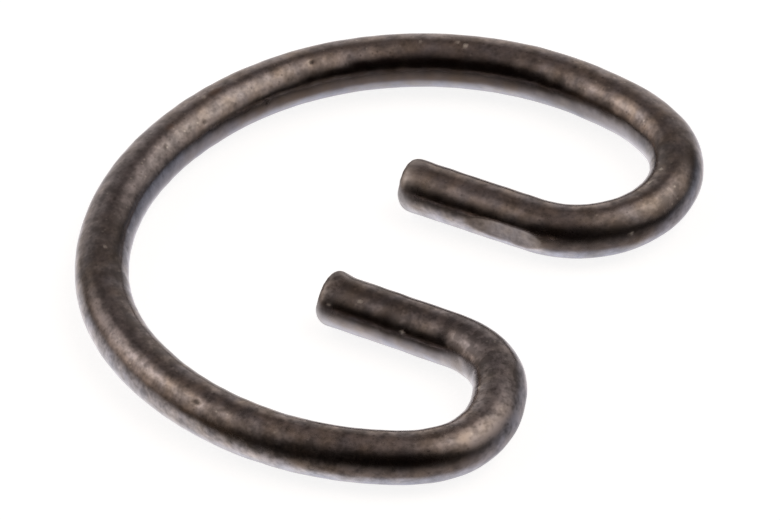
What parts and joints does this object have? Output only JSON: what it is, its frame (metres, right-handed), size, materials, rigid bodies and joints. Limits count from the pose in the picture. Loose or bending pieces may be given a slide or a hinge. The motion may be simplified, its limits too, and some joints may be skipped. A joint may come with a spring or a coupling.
{
  "type": "wire retaining ring",
  "caption": "Open retaining ring of round spring wire whose ends hook back inside as straight tangs; it springs into a groove in a bore to hold a pin or shaft in place.",
  "frame": {"origin": "centre of the ring's circle, in the middle plane of the wire", "axes": "+Z along the axis of the bore that the ring seats in, +X towards the mouth between the two hooks, +Y across the mouth"},
  "size_m": [0.0101, 0.0124, 0.001],
  "materials": {
    "spring_steel": "dark oil-tempered satin, brown-grey, with small pits and light flecks"
  },
  "bodies": {
    "root": {"retaining_ring": "spring_steel"}
  },
  "joints": []
}
